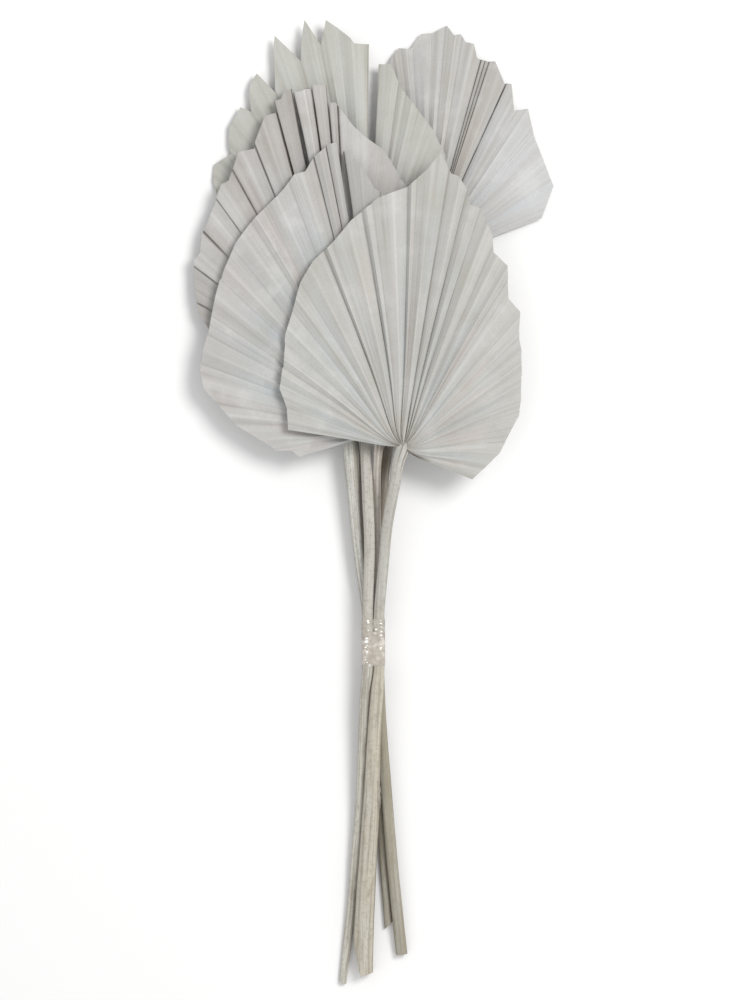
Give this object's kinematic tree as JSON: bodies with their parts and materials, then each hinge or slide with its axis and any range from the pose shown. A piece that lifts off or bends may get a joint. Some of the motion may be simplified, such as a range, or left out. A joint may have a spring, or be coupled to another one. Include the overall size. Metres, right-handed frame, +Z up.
{
  "type": "fan palm leaf",
  "caption": "Dried fan palm leaves trimmed to spear shapes, their stalks crossed and bound together with clear tape, for floral decoration.",
  "frame": {"origin": "bottom centre of the box round the whole bunch, on the surface that it lies on", "axes": "+X across the blades, +Y along the stalks towards the leaf tips, +Z up through the stack of blades"},
  "size_m": [0.249, 0.6728, 0.0391],
  "materials": {
    "dried_leaf": "dry, chalky, streaked along the pleats",
    "clear_film": "clear wrinkled film, glossy"
  },
  "bodies": {
    "root": {"front_leaf": "dried_leaf", "left_leaf": "dried_leaf", "middle_leaf": "dried_leaf", "back_leaf": "dried_leaf", "right_leaf": "dried_leaf", "tie_tape": "clear_film"}
  },
  "joints": []
}
